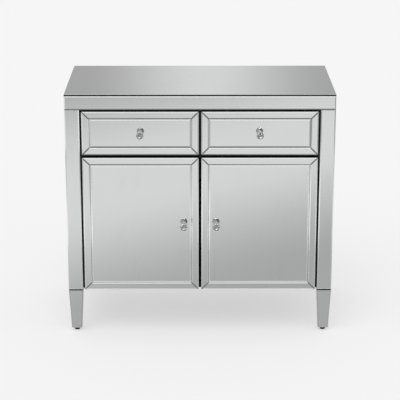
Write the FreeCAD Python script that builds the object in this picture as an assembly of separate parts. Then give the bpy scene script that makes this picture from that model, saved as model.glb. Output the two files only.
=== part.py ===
# Mirrored chiffonier: two drawers over two doors in a black box, clad in bevelled mirror glass.
# Millimetres, +Z up, front towards -Y. The origin is on the floor at the middle of the overall
# box, knobs included. The right half mirrors the left, so most pieces are made on the left.
import FreeCAD, Part
import collections
import math
import os

V = FreeCAD.Vector

# Overall size
OVERALL_WIDTH = 880.0
OVERALL_HEIGHT = 820.0
BODY_DEPTH = 450.0

# Front: heights of its rows and the dark gaps between them
LEG_HEIGHT = 151.0
MIDDLE_GAP = 10.0
DRAWER_HEIGHT = 144.5
TOP_GAP = 7.0
TOP_BAND = 45.0

# Front: widths
POST_SIZE = 48.0
SIDE_GAP = 7.0
CENTRE_GAP = 9.0

# Mirror glass
GLASS = 4.0
TOP_GLASS = 6.0
BORDER_WIDTH = 24.0
BEVEL_WIDTH = 3.5
PANEL_BEVEL = 4.5
MITRE_BEVEL = 2.0
BEVEL_DEPTH = 1.1
TOP_ARRIS = 0.7
GLASS_JOINT = 1.0

# Boards
BOARD = 18.0
LINER = 16.0
FRONT_BOARD = 14.0
FRONT_CLEARANCE = 3.0
BACK_PANEL = 5.0
BACK_INSET = 3.0
SIDE_BOARD = 15.0
SIDE_RECESS = 3.0
SPACER_HEIGHT = 45.0
TOP_RAIL_DEPTH = 70.0
SHELF_SETBACK = 12.0
SHELF_CLEARANCE = 1.0

# Legs and feet
LEG_TAPER = 7.0
LEG_SEAM = 4.0
GLIDE_DIAMETER = 18.5
GLIDE_HEIGHT = 10.5
GLIDE_ROUND = 3.0
NAIL_DIAMETER = 2.5
NAIL_LENGTH = 18.0

# Shelf pins
SHELF_PIN_DIAMETER = 5.0
SHELF_PIN_DEPTH = 9.0
SHELF_PIN_REACH = 9.0
SHELF_PIN_INSET = 40.0

# Crystal knobs
KNOB_INSET = 49.0
CRYSTAL_DIAMETER = 24.0
CRYSTAL_LENGTH = 25.0
CRYSTAL_SIDES = 8
KNOB_FLANGE_DIAMETER = 18.0
KNOB_FLANGE = 2.5
KNOB_NECK_DIAMETER = 8.5
KNOB_NECK = 14.0
KNOB_CUP_DIAMETER = 14.0
KNOB_CUP = 3.0
KNOB_SCREW_DIAMETER = 4.0
KNOB_SCREW_BITE = 7.0
KNOB_HOLE_DIAMETER = 5.0
SCREW_HEAD_DIAMETER = 8.0
SCREW_HEAD = 2.4

# Hinges: the pivot lies inside the door, behind the glass at its hinge edge
HINGE_INSET = 80.0
HINGE_HEIGHT = 50.0
HINGE_LEAF = 2.0
HINGE_ARM = 3.0
HINGE_MARGIN = 1.0
HINGE_CLEARANCE = 1.0
KNUCKLE_DIAMETER = 8.0
KNUCKLE_HEIGHT = 20.0
KNUCKLE_GAP = 0.3
PIN_DIAMETER = 4.0
PIVOT_INSET = 7.0
DOOR_EASE = 2.0

# Catches
CATCH_LENGTH = 46.0
CATCH_DEPTH = 16.0
CATCH_HEIGHT = 13.0
CATCH_INSET = 60.0
STRIKE_LENGTH = 38.0
STRIKE_HEIGHT = 11.0
STRIKE = 1.2
CATCH_GAP = 0.3

# Drawer boxes and their three-part runners
BOX_BOARD = 12.0
BOX_BACK_ROOM = 34.0
BOX_FLOOR_ROOM = 10.0
BOX_TOP_ROOM = 18.0
BOX_BOTTOM = 5.0
GROOVE_DEPTH = 6.0
GROOVE_HEIGHT = 10.0
RUNNER = 12.7
RUNNER_HEIGHT = 45.0
RUNNER_SHEET = 1.2
RUNNER_SHORT = 10.0
RUNNER_SETBACK = 2.0
RACE_GAP = 0.4

# Countersunk wood screws
WOOD_SCREW_DIAMETER = 3.5
WOOD_HEAD_DIAMETER = 6.5
WOOD_HEAD = 2.0
BACK_SCREW_LENGTH = 22.0
TOP_SCREW_LENGTH = 36.0
HINGE_SCREW_LENGTH = 18.0
HINGE_SCREW_SPACING = 34.0
LEAF_SCREW_SPACING = 10.0

# Fit of round pieces in their holes, on the radius, and how far a through cut runs past its faces
FIT = 0.05
OVERRUN = 1.0

# Shares: knob profile, crystal rings as (radius, length), the driver's cross in a screw head as
# (length, width) of the head's diameter and depth of its height, and screw places along their boards
CRYSTAL_RING_SHARES = [(0.50, 0.0), (0.86, 0.26), (1.0, 0.52), (0.80, 0.80), (0.46, 1.0)]
NECK_WAIST_SHARE = 0.5
CROSS_SHARES = (0.55, 0.15)
CROSS_DEPTH_SHARE = 0.5
BACK_SCREW_SHARES = [-0.85, 0.0, 0.85]
SIDE_SCREW_SHARES = [0.3, 0.7]
TOP_SCREW_SHARES = [-0.8, 0.0, 0.8]

# Levels and planes worked out from the sizes above
KNOB_PROJECTION = KNOB_FLANGE + KNOB_NECK + KNOB_CUP + CRYSTAL_LENGTH
Y_BACK = (BODY_DEPTH + KNOB_PROJECTION) / 2
Y_FACE = Y_BACK - BODY_DEPTH
FRONT_THICKNESS = GLASS + FRONT_BOARD
Y_FRONT_BACK = Y_FACE + FRONT_THICKNESS
Y_CARCASE = Y_FRONT_BACK + FRONT_CLEARANCE
Y_BOARD_BACK = Y_BACK - BACK_INSET - BACK_PANEL

X_OUTER = OVERALL_WIDTH / 2
X_POST = X_OUTER - POST_SIZE
X_LINER = X_POST - LINER
X_FRONT_OUT = X_POST - SIDE_GAP
X_FRONT_IN = CENTRE_GAP / 2

Z_GLASS = OVERALL_HEIGHT - TOP_GLASS
Z_TOP = Z_GLASS - TOP_BAND
Z_DRAWER_TOP = Z_TOP - TOP_GAP
Z_DRAWER = Z_DRAWER_TOP - DRAWER_HEIGHT
Z_DOOR_TOP = Z_DRAWER - MIDDLE_GAP
Z_BODY = LEG_HEIGHT
Z_FLOOR = Z_BODY + BOARD
Z_DECK = (Z_DOOR_TOP + Z_DRAWER - BOARD) / 2
Z_DECK_TOP = Z_DECK + BOARD
Z_RAIL = Z_TOP - BOARD
Z_SHELF = (Z_FLOOR + Z_DECK - BOARD) / 2
Z_DOOR_MIDDLE = (Z_BODY + Z_DOOR_TOP) / 2
Z_DRAWER_MIDDLE = (Z_DRAWER + Z_DRAWER_TOP) / 2

Y_BOX_BACK = Y_BOARD_BACK - BOX_BACK_ROOM
Z_BOX = Z_DECK_TOP + BOX_FLOOR_ROOM
Z_BOX_TOP = Z_RAIL - BOX_TOP_ROOM
Z_BOX_BOTTOM = Z_BOX + GROOVE_HEIGHT
X_BOX_OUT = X_LINER - RUNNER
X_BOX_IN = BOARD / 2 + RUNNER
Z_RUNNER = (Z_BOX + Z_BOX_TOP) / 2
Y_RUNNER = Y_CARCASE + RUNNER_SETBACK
Y_RUNNER_BACK = Y_BOX_BACK - RUNNER_SHORT

X_PIVOT = -X_FRONT_OUT + PIVOT_INSET
Y_PIVOT = Y_FACE + FRONT_THICKNESS / 2
HINGE_LEVELS = [Z_BODY + HINGE_INSET, Z_DOOR_TOP - HINGE_INSET]
X_LEAF = X_PIVOT + KNUCKLE_DIAMETER / 2 + HINGE_CLEARANCE
X_POCKET = X_LEAF + HINGE_LEAF
CATCH_MIDDLE = X_FRONT_IN + CATCH_INSET

# A flat face: its origin, the two directions in it and the way it looks
Face = collections.namedtuple("Face", "origin across up out")
FRONT = Face(V(0, Y_FACE + GLASS, 0), V(1, 0, 0), V(0, 0, 1), V(0, -1, 0))
LEFT_SIDE = Face(V(GLASS - X_OUTER, 0, 0), V(0, -1, 0), V(0, 0, 1), V(-1, 0, 0))
LEFT_PANEL = Face(V(GLASS + SIDE_RECESS - X_OUTER, 0, 0), V(0, -1, 0), V(0, 0, 1), V(-1, 0, 0))
TOP = Face(V(0, 0, Z_GLASS), V(1, 0, 0), V(0, 1, 0), V(0, 0, 1))


def box(x0, x1, y0, y1, z0, z1):
    """A block between two corners."""
    return Part.makeBox(x1 - x0, y1 - y0, z1 - z0, V(x0, y0, z0))


def cylinder(radius, start, direction, length):
    """A round bar from a point along a direction."""
    return Part.makeCylinder(radius, length, start, direction)


def mirrored(solids):
    """The same solids on the right-hand half."""
    return [solid.mirror(V(0, 0, 0), V(1, 0, 0)) for solid in solids]


def both_sides(solids):
    """Solids of the left half with their twins on the right."""
    return solids + mirrored(solids)


def joined(solids):
    """One solid from several that touch."""
    return solids[0].multiFuse(solids[1:]).removeSplitter()


def bored(solid, tools):
    """A solid with the tools cut out of it."""
    return solid.cut(Part.makeCompound(tools))


def flat(points):
    """A flat face round a list of points."""
    return Part.Face(Part.makePolygon(points + [points[0]]))


def closed(faces):
    """A solid inside a closed set of flat faces."""
    solid = Part.Solid(Part.makeShell(faces))
    if solid.Volume < 0:
        solid.reverse()
    return solid


def stacked(rings):
    """A solid through rings of as many points each, with flat sides between them."""
    faces = [flat(rings[0]), flat(rings[-1])]
    for lower, upper in zip(rings, rings[1:]):
        for i in range(len(lower)):
            j = (i + 1) % len(lower)
            faces.append(flat([lower[i], lower[j], upper[j], upper[i]]))
    return closed(faces)


def inset(outline, widths):
    """A convex outline, anticlockwise, with each edge moved inwards by its own width."""
    lines = []
    for i, (u, v) in enumerate(outline):
        next_u, next_v = outline[(i + 1) % len(outline)]
        length = math.hypot(next_u - u, next_v - v)
        du = (next_u - u) / length
        dv = (next_v - v) / length
        lines.append((u - dv * widths[i], v + du * widths[i], du, dv))
    corners = []
    for i, (u, v, du, dv) in enumerate(lines):
        last_u, last_v, last_du, last_dv = lines[i - 1]
        along = ((u - last_u) * dv - (v - last_v) * du) / (last_du * dv - last_dv * du)
        corners.append((last_u + along * last_du, last_v + along * last_dv))
    return corners


def on_face(face, outline, height):
    """The points of an outline, some height off a face."""
    return [face.origin + face.across * u + face.up * v + face.out * height for u, v in outline]


def glass_plate(face, outline, thickness, bevels, depth=BEVEL_DEPTH):
    """A sheet of glass on a face, each front edge ground to a bevel of its own width."""
    shoulder = thickness - depth
    rings = [on_face(face, outline, 0), on_face(face, outline, shoulder)]
    rings.append(on_face(face, inset(outline, bevels), thickness))
    return stacked(rings)


def rectangle(u0, u1, v0, v1):
    """A rectangle's outline, anticlockwise from its lower left corner."""
    return [(u0, v0), (u1, v0), (u1, v1), (u0, v1)]


def centre_glass(face, outline):
    """The centre sheet inside a mitred border."""
    reach = BORDER_WIDTH + GLASS_JOINT
    return glass_plate(face, inset(outline, [reach] * 4), GLASS, [PANEL_BEVEL] * 4)


def border_glass(face, outline):
    """Four mitred strips round a rectangle."""
    inner = inset(outline, [BORDER_WIDTH] * 4)
    strips = []
    for i in range(4):
        j = (i + 1) % 4
        strip = [outline[i], outline[j], inner[j], inner[i]]
        strip = inset(strip, [0, GLASS_JOINT / 2, 0, GLASS_JOINT / 2])
        bevels = [BEVEL_WIDTH, MITRE_BEVEL, BEVEL_WIDTH, MITRE_BEVEL]
        strips.append(glass_plate(face, strip, GLASS, bevels))
    return strips


def driver_cross(head, direction, diameter, height):
    """The cut for a driver in a screw head: two crossed slots, sunk along a direction."""
    length_share, width_share = CROSS_SHARES
    reach = diameter * length_share / 2
    half = diameter * width_share / 2
    depth = height * CROSS_DEPTH_SHARE
    slot = box(-reach, reach, -half, half, -OVERRUN, depth)
    crossing = box(-half, half, -reach, reach, -OVERRUN, depth)
    cross = joined([slot, crossing])
    cross.Placement = FreeCAD.Placement(head, FreeCAD.Rotation(V(0, 0, 1), direction))
    return cross


def wood_screw(head, direction, length, fit):
    """A countersunk screw, or its hole when the fit is not zero."""
    radius = WOOD_SCREW_DIAMETER / 2 + fit
    cone = Part.makeCone(WOOD_HEAD_DIAMETER / 2 + fit, radius, WOOD_HEAD, head, direction)
    shank = cylinder(radius, head, direction, length + fit)
    screw = joined([cone, shank])
    if fit:
        return screw
    return bored(screw, [driver_cross(head, direction, WOOD_HEAD_DIAMETER, WOOD_HEAD)])


# Top

def top_board(holes):
    """The thick core of the top, inside its glass."""
    x = X_OUTER - GLASS
    return bored(box(-x, x, Y_FACE + GLASS, Y_BACK, Z_TOP, Z_GLASS), holes)


def top_glass():
    """The mirror sheet over the whole top, its square edge left showing under a small arris."""
    outline = rectangle(-X_OUTER, X_OUTER, Y_FACE, Y_BACK)
    return glass_plate(TOP, outline, TOP_GLASS, [TOP_ARRIS] * 4, TOP_ARRIS)


def top_edge_glass():
    """Mirror bands on the front and both ends of the top."""
    bevels = [BEVEL_WIDTH] * 4
    front = glass_plate(FRONT, rectangle(-X_OUTER, X_OUTER, Z_TOP, Z_GLASS), GLASS, bevels)
    end = glass_plate(LEFT_SIDE, rectangle(-Y_BACK, -Y_FACE - GLASS, Z_TOP, Z_GLASS), GLASS, bevels)
    return [front] + both_sides([end])


# Posts, legs and feet

def leg_rings(y0, y1, skin):
    """Leg outlines at the glide and under the seam, set in by the skin's thickness."""
    post = [(-X_OUTER, y0), (-X_POST, y0), (-X_POST, y1), (-X_OUTER, y1)]
    rings = []
    for taper, z in ((LEG_TAPER, GLIDE_HEIGHT), (0, Z_BODY - LEG_SEAM)):
        rings.append([V(u, v, z) for u, v in inset(post, [taper + skin] * 4)])
    return rings


def leg_middle(y0):
    """The centre of a leg's foot, for a post that starts at this depth."""
    return V(-X_POST - POST_SIZE / 2, y0 + POST_SIZE / 2, 0)


def nail(y0, fit):
    """The nail of a foot glide, or its hole."""
    start = leg_middle(y0) + V(0, 0, GLIDE_HEIGHT)
    return cylinder(NAIL_DIAMETER / 2 + fit, start, V(0, 0, 1), NAIL_LENGTH + fit)


def post(y0, glass_in_front):
    """A left post: the square upper part, the neck at the seam and the tapered leg."""
    y1 = y0 + POST_SIZE
    upper = box(GLASS - X_OUTER, -X_POST, y0 + glass_in_front, y1, Z_BODY, Z_TOP)
    leg = stacked(leg_rings(y0, y1, GLASS))
    neck = box(GLASS - X_OUTER, -X_POST - GLASS, y0 + GLASS, y1 - GLASS, Z_BODY - LEG_SEAM, Z_BODY)
    return bored(joined([upper, neck, leg]), [nail(y0, FIT)])


def post_glass():
    """Mirror strips on the front and outer faces of the left posts, a joint below the top's band."""
    bevels = [MITRE_BEVEL, BEVEL_WIDTH, MITRE_BEVEL, BEVEL_WIDTH]
    z = Z_TOP - GLASS_JOINT
    front = glass_plate(FRONT, rectangle(-X_OUTER, -X_POST, Z_BODY, z), GLASS, bevels)
    strips = [front]
    for y0, y1 in ((Y_FACE + GLASS, Y_FACE + POST_SIZE), (Y_BACK - POST_SIZE, Y_BACK)):
        strips.append(glass_plate(LEFT_SIDE, rectangle(-y1, -y0, Z_BODY, z), GLASS, bevels))
    return strips


def leg_glass(y0):
    """Four tapered glass faces with mitred, bevelled corners round a left leg."""
    outer = leg_rings(y0, y0 + POST_SIZE, 0)
    inner = leg_rings(y0, y0 + POST_SIZE, GLASS)
    plates = []
    for i in range(4):
        j = (i + 1) % 4
        rings = []
        for skin, core in zip(outer, inner):
            along = (skin[j] - skin[i]).normalize()
            inward = V(-along.y, along.x, 0)
            start_mitre = skin[i] + (along + inward) * BEVEL_DEPTH
            end_mitre = skin[j] + (inward - along) * BEVEL_DEPTH
            start_flat = skin[i] + along * BEVEL_WIDTH
            end_flat = skin[j] - along * BEVEL_WIDTH
            rings.append([core[i], start_mitre, start_flat, end_flat, end_mitre, core[j]])
        plates.append(stacked(rings))
    return plates


def foot_glide(y0):
    """A round glide with a rounded rim, nailed under a left leg."""
    disc = cylinder(GLIDE_DIAMETER / 2, leg_middle(y0), V(0, 0, 1), GLIDE_HEIGHT)
    rim = [edge for edge in disc.Edges if edge.BoundBox.ZMax < GLIDE_HEIGHT / 2]
    return joined([disc.makeFillet(GLIDE_ROUND, rim), nail(y0, 0)])


# Inner box

def side_liner(holes):
    """The left inner side, let in for the hinge leaves and bored for screws and shelf pins."""
    liner = box(-X_POST, -X_LINER, Y_CARCASE, Y_BOARD_BACK, Z_BODY, Z_TOP)
    seats = [hinge_plate(z) for z in HINGE_LEVELS]
    pins = [shelf_pin(y, FIT) for y in shelf_pin_places()]
    return bored(liner, seats + pins + holes)


def inner_board(z0, holes):
    """A level board between the inner sides."""
    return bored(box(-X_LINER, X_LINER, Y_CARCASE, Y_BOARD_BACK, z0, z0 + BOARD), holes)


def drawer_divider():
    """The upright between the drawers."""
    return box(-BOARD / 2, BOARD / 2, Y_CARCASE, Y_BOARD_BACK, Z_DECK_TOP, Z_RAIL)


def top_rails(holes):
    """Rails at the front and back that carry the top."""
    front = box(-X_LINER, X_LINER, Y_CARCASE, Y_CARCASE + TOP_RAIL_DEPTH, Z_RAIL, Z_TOP)
    back = box(-X_LINER, X_LINER, Y_BOARD_BACK - TOP_RAIL_DEPTH, Y_BOARD_BACK, Z_RAIL, Z_TOP)
    return [bored(front, holes), bored(back, holes)]


def back_panel(holes):
    """The thin back, between the rear posts."""
    panel = box(-X_POST, X_POST, Y_BOARD_BACK, Y_BOARD_BACK + BACK_PANEL, Z_BODY, Z_TOP)
    return bored(panel, holes)


def shelf():
    """The loose shelf on its pins."""
    x = X_LINER - SHELF_CLEARANCE
    return box(-x, x, Y_CARCASE + SHELF_SETBACK, Y_BOARD_BACK - SHELF_CLEARANCE, Z_SHELF, Z_SHELF + BOARD)


def shelf_pin_places():
    """Depths of the two pins on each side."""
    return [Y_CARCASE + SHELF_SETBACK + SHELF_PIN_INSET, Y_BOARD_BACK - SHELF_PIN_INSET]


def shelf_pin(y, fit):
    """A left shelf pin, or its hole."""
    radius = SHELF_PIN_DIAMETER / 2
    start = V(-X_LINER - SHELF_PIN_DEPTH - fit, y, Z_SHELF - radius - FIT)
    return cylinder(radius + fit, start, V(1, 0, 0), SHELF_PIN_DEPTH + SHELF_PIN_REACH + fit)


# Outer sides

def side_outline():
    """The left side between its posts, seen from outside."""
    return rectangle(POST_SIZE - Y_BACK, -Y_FACE - POST_SIZE, Z_BODY, Z_TOP)


def side_panel():
    """The board behind the left side glass."""
    x = GLASS + SIDE_RECESS - X_OUTER
    return box(x, x + SIDE_BOARD, Y_FACE + POST_SIZE, Y_BACK - POST_SIZE, Z_BODY, Z_TOP)


def side_spacers():
    """Spacers between the left side board and the inner side."""
    x = GLASS + SIDE_RECESS + SIDE_BOARD - X_OUTER
    spacers = []
    for z in (Z_BODY, Z_TOP - SPACER_HEIGHT):
        spacers.append(box(x, -X_POST, Y_FACE + POST_SIZE, Y_BACK - POST_SIZE, z, z + SPACER_HEIGHT))
    return spacers


def side_glass():
    """Centre sheet and mitred border on the left side."""
    return [centre_glass(LEFT_PANEL, side_outline())] + border_glass(LEFT_PANEL, side_outline())


# Hinges and catches

def hinge_plate(z):
    """The part of a fixed leaf that is let into the inner side's front edge."""
    z0 = z - HINGE_HEIGHT / 2
    x0 = -X_POST + HINGE_MARGIN
    return box(x0, -X_LINER - HINGE_MARGIN, Y_CARCASE, Y_CARCASE + HINGE_LEAF, z0, z0 + HINGE_HEIGHT)


def hinge_pin(z, fit):
    """A hinge pin, or its bore."""
    start = V(X_PIVOT, Y_PIVOT, z - HINGE_HEIGHT / 2 - fit)
    return cylinder(PIN_DIAMETER / 2 + fit, start, V(0, 0, 1), HINGE_HEIGHT + 2 * fit)


def frame_screws(z, fit):
    """The two screws of a fixed leaf, or their holes."""
    x = -(X_POST + X_LINER) / 2
    screws = []
    for offset in (-HINGE_SCREW_SPACING / 2, HINGE_SCREW_SPACING / 2):
        head = V(x, Y_CARCASE, z + offset)
        screws.append(wood_screw(head, V(0, 1, 0), HINGE_SCREW_LENGTH, fit))
    return screws


def leaf_screws(z, fit):
    """The two screws of a door leaf, or their holes."""
    y = (Y_PIVOT + Y_FRONT_BACK) / 2
    screws = []
    for offset in (-LEAF_SCREW_SPACING / 2, LEAF_SCREW_SPACING / 2):
        head = V(X_LEAF, y, z + offset)
        screws.append(wood_screw(head, V(1, 0, 0), HINGE_SCREW_LENGTH, fit))
    return screws


def frame_leaf(z):
    """A fixed leaf: plate, arm and the middle knuckle."""
    z0 = z - KNUCKLE_HEIGHT / 2
    arm = box(X_PIVOT - HINGE_ARM / 2, X_PIVOT + HINGE_ARM / 2, Y_PIVOT, Y_CARCASE, z0, z0 + KNUCKLE_HEIGHT)
    knuckle = cylinder(KNUCKLE_DIAMETER / 2, V(X_PIVOT, Y_PIVOT, z0), V(0, 0, 1), KNUCKLE_HEIGHT)
    return bored(joined([hinge_plate(z), arm, knuckle]), [hinge_pin(z, FIT)] + frame_screws(z, FIT))


def door_leaf(z):
    """A door leaf: plate on the pocket's wall with a knuckle above and below the fixed one."""
    low = z - HINGE_HEIGHT / 2
    plate = box(X_LEAF, X_POCKET, Y_FACE + GLASS, Y_FRONT_BACK, low, low + HINGE_HEIGHT)
    height = (HINGE_HEIGHT - KNUCKLE_HEIGHT) / 2 - KNUCKLE_GAP
    solids = [plate]
    for z0 in (low, low + HINGE_HEIGHT - height):
        y0 = Y_PIVOT - HINGE_LEAF / 2
        solids.append(box(X_PIVOT, X_LEAF, y0, y0 + HINGE_LEAF, z0, z0 + height))
        solids.append(cylinder(KNUCKLE_DIAMETER / 2, V(X_PIVOT, Y_PIVOT, z0), V(0, 0, 1), height))
    return bored(joined(solids), [hinge_pin(z, FIT)] + leaf_screws(z, FIT))


def hinge_pocket(z):
    """The pocket in the left door that takes a hinge."""
    half = HINGE_HEIGHT / 2 + HINGE_CLEARANCE
    return box(-X_FRONT_OUT, X_POCKET, Y_FACE + GLASS, Y_FRONT_BACK, z - half, z + half)


def magnetic_catch():
    """The catch under the deck for the left door."""
    x0 = -CATCH_MIDDLE - CATCH_LENGTH / 2
    y0 = Y_FRONT_BACK + STRIKE + CATCH_GAP
    return box(x0, x0 + CATCH_LENGTH, y0, y0 + CATCH_DEPTH, Z_DECK - CATCH_HEIGHT, Z_DECK)


def strike_plate():
    """The steel plate on the left door that meets the catch."""
    x0 = -CATCH_MIDDLE - STRIKE_LENGTH / 2
    z0 = Z_DECK - (CATCH_HEIGHT + STRIKE_HEIGHT) / 2
    return box(x0, x0 + STRIKE_LENGTH, Y_FRONT_BACK, Y_FRONT_BACK + STRIKE, z0, z0 + STRIKE_HEIGHT)


# Knobs, at a place on the front

def knob_hole(x, z, y_back):
    """The hole for a knob's screw, from the face to a depth."""
    start = V(x, Y_FACE - OVERRUN, z)
    return cylinder(KNOB_HOLE_DIAMETER / 2, start, V(0, 1, 0), y_back - Y_FACE + 2 * OVERRUN)


def knob_crystal(x, z):
    """A cut crystal: rings of points, each turned half a step from the last."""
    rings = []
    y_tip = Y_FACE - KNOB_PROJECTION
    for k, (radius_share, length_share) in enumerate(CRYSTAL_RING_SHARES):
        ring = []
        for i in range(CRYSTAL_SIDES):
            angle = 2 * math.pi * (i + k / 2) / CRYSTAL_SIDES
            reach = CRYSTAL_DIAMETER / 2 * radius_share
            y = y_tip + CRYSTAL_LENGTH * length_share
            ring.append(V(x + reach * math.cos(angle), y, z + reach * math.sin(angle)))
        rings.append(ring)
    faces = [flat(rings[0]), flat(rings[-1])]
    for near, far in zip(rings, rings[1:]):
        for i in range(CRYSTAL_SIDES):
            j = (i + 1) % CRYSTAL_SIDES
            faces.append(flat([near[i], near[j], far[i]]))
            faces.append(flat([far[i], near[j], far[j]]))
    return closed(faces)


def knob_screw(x, z, y_head, fit):
    """The screw that holds a knob from behind, or its bore in the knob."""
    end = Y_FACE - KNOB_SCREW_BITE - fit
    shank = cylinder(KNOB_SCREW_DIAMETER / 2 + fit, V(x, end, z), V(0, 1, 0), y_head - end)
    head = cylinder(SCREW_HEAD_DIAMETER / 2, V(x, y_head, z), V(0, 1, 0), SCREW_HEAD)
    top = V(x, y_head + SCREW_HEAD, z)
    return bored(joined([shank, head]), [driver_cross(top, V(0, -1, 0), SCREW_HEAD_DIAMETER, SCREW_HEAD)])


def knob_base(x, z, y_head):
    """A turned base: flange, waisted neck and the cup under the crystal."""
    flange = KNOB_FLANGE_DIAMETER / 2
    neck = KNOB_NECK_DIAMETER / 2
    cup = KNOB_CUP_DIAMETER / 2
    y_neck = Y_FACE - KNOB_FLANGE
    y_cup = y_neck - KNOB_NECK
    y_end = y_cup - KNOB_CUP
    waist = V(neck, y_neck - KNOB_NECK * NECK_WAIST_SHARE, 0)
    edges = [
        Part.LineSegment(V(0, Y_FACE, 0), V(flange, Y_FACE, 0)).toShape(),
        Part.LineSegment(V(flange, Y_FACE, 0), V(cup, y_neck, 0)).toShape(),
        Part.Arc(V(cup, y_neck, 0), waist, V(cup, y_cup, 0)).toShape(),
        Part.LineSegment(V(cup, y_cup, 0), V(cup, y_end, 0)).toShape(),
        Part.LineSegment(V(cup, y_end, 0), V(0, y_end, 0)).toShape(),
        Part.LineSegment(V(0, y_end, 0), V(0, Y_FACE, 0)).toShape(),
    ]
    turned = Part.Face(Part.Wire(edges)).revolve(V(0, 0, 0), V(0, 1, 0), 360)
    turned.translate(V(x, 0, z))
    return bored(turned, [knob_screw(x, z, y_head, FIT)])


# Drawers

def drawer_sides():
    """The two long sides of the left drawer's box, grooved for the bottom."""
    sides = []
    for x0 in (-X_BOX_OUT, -X_BOX_IN - BOX_BOARD):
        side = box(x0, x0 + BOX_BOARD, Y_FRONT_BACK, Y_BOX_BACK, Z_BOX, Z_BOX_TOP)
        sides.append(bored(side, [drawer_bottom(FIT)]))
    return sides


def drawer_ends(x_knob):
    """The inner front and the back of the left drawer's box."""
    x0 = -X_BOX_OUT + BOX_BOARD
    x1 = -X_BOX_IN - BOX_BOARD
    front = box(x0, x1, Y_FRONT_BACK, Y_FRONT_BACK + BOX_BOARD, Z_BOX, Z_BOX_TOP)
    hole = knob_hole(x_knob, Z_DRAWER_MIDDLE, Y_FRONT_BACK + BOX_BOARD)
    back = box(x0, x1, Y_BOX_BACK - BOX_BOARD, Y_BOX_BACK, Z_BOX_BOTTOM + BOX_BOTTOM, Z_BOX_TOP)
    return [bored(front, [drawer_bottom(FIT), hole]), back]


def drawer_bottom(fit):
    """The thin bottom in its grooves, or the grooves."""
    x0 = -X_BOX_OUT + BOX_BOARD - GROOVE_DEPTH - fit
    x1 = -X_BOX_IN - BOX_BOARD + GROOVE_DEPTH + fit
    y0 = Y_FRONT_BACK + BOX_BOARD - GROOVE_DEPTH - fit
    return box(x0, x1, y0, Y_BOX_BACK, Z_BOX_BOTTOM - fit, Z_BOX_BOTTOM + BOX_BOTTOM)


def runner_channel(x_web, x_lip, half_height):
    """A sheet channel: a web at one depth and two flanges that reach to the other."""
    towards = math.copysign(1, x_lip - x_web)
    web_end = x_web + towards * RUNNER_SHEET
    z0 = Z_RUNNER - half_height
    z1 = Z_RUNNER + half_height
    x0, x1 = sorted((x_web, web_end))
    solids = [box(x0, x1, Y_RUNNER, Y_RUNNER_BACK, z0, z1)]
    x0, x1 = sorted((x_web, x_lip))
    solids.append(box(x0, x1, Y_RUNNER, Y_RUNNER_BACK, z0, z0 + RUNNER_SHEET))
    solids.append(box(x0, x1, Y_RUNNER, Y_RUNNER_BACK, z1 - RUNNER_SHEET, z1))
    return joined(solids)


def runner_pair(member):
    """One member of both runners of the left drawer: rail, middle or slide."""
    half = RUNNER_HEIGHT / 2
    step = RUNNER_SHEET + RACE_GAP
    channels = []
    for x_base, towards in ((-X_LINER, 1), (-BOARD / 2, -1)):
        if member == "rail":
            web, lip, height = 0, RUNNER - step, half
        elif member == "middle":
            web, lip, height = step, RUNNER - RUNNER_SHEET - RACE_GAP / 2, half - step
        else:
            web, lip, height = RUNNER, 2 * step, half - 2 * step
        channels.append(runner_channel(x_base + towards * web, x_base + towards * lip, height))
    return channels


def front_outline(z0, z1):
    """The left front between two heights."""
    return rectangle(-X_FRONT_OUT, -X_FRONT_IN, z0, z1)


def left_drawer():
    """Every piece of the left drawer, by name."""
    x = -(X_FRONT_OUT + X_FRONT_IN) / 2
    z = Z_DRAWER_MIDDLE
    outline = front_outline(Z_DRAWER, Z_DRAWER_TOP)
    y_head = Y_FRONT_BACK + BOX_BOARD
    hole = knob_hole(x, z, Y_FRONT_BACK)
    board = box(-X_FRONT_OUT, -X_FRONT_IN, Y_FACE + GLASS, Y_FRONT_BACK, Z_DRAWER, Z_DRAWER_TOP)
    return {
        "drawer_front": [bored(board, [hole])],
        "drawer_panel_glass": [bored(centre_glass(FRONT, outline), [hole])],
        "drawer_border_glass": border_glass(FRONT, outline),
        "drawer_box": drawer_sides() + drawer_ends(x),
        "drawer_bottom": [drawer_bottom(0)],
        "runner_slides": runner_pair("slide"),
        "runner_middles": runner_pair("middle"),
        "drawer_knob_crystal": [knob_crystal(x, z)],
        "drawer_knob_base": [knob_base(x, z, y_head), knob_screw(x, z, y_head, 0)],
    }


# Doors

def door_board(x_knob):
    """The left door's board, eased at the back of its hinge edge and pocketed for its hinges."""
    outer = -X_FRONT_OUT
    y0 = Y_FACE + GLASS
    outline = [(outer, y0), (-X_FRONT_IN, y0), (-X_FRONT_IN, Y_FRONT_BACK)]
    outline += [(outer + DOOR_EASE, Y_FRONT_BACK), (outer, Y_FRONT_BACK - DOOR_EASE)]
    rings = [[V(x, y, z) for x, y in outline] for z in (Z_BODY, Z_DOOR_TOP)]
    tools = [knob_hole(x_knob, Z_DOOR_MIDDLE, Y_FRONT_BACK)]
    for z in HINGE_LEVELS:
        tools.append(hinge_pocket(z))
        tools += leaf_screws(z, FIT)
    return bored(stacked(rings), tools)


def left_door():
    """Every piece of the left door, by name."""
    x = -X_FRONT_IN - KNOB_INSET
    z = Z_DOOR_MIDDLE
    outline = front_outline(Z_BODY, Z_DOOR_TOP)
    leaves = []
    for level in HINGE_LEVELS:
        leaves.append(door_leaf(level))
        leaves += leaf_screws(level, 0)
    glass = bored(centre_glass(FRONT, outline), [knob_hole(x, z, Y_FRONT_BACK)])
    return {
        "door_board": [door_board(x)],
        "door_panel_glass": [glass],
        "door_border_glass": border_glass(FRONT, outline),
        "door_hinge_leaves": leaves,
        "door_strike_plate": [strike_plate()],
        "door_knob_crystal": [knob_crystal(x, z)],
        "door_knob_base": [knob_base(x, z, Y_FRONT_BACK), knob_screw(x, z, Y_FRONT_BACK, 0)],
    }


# Screws of the carcase

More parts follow.
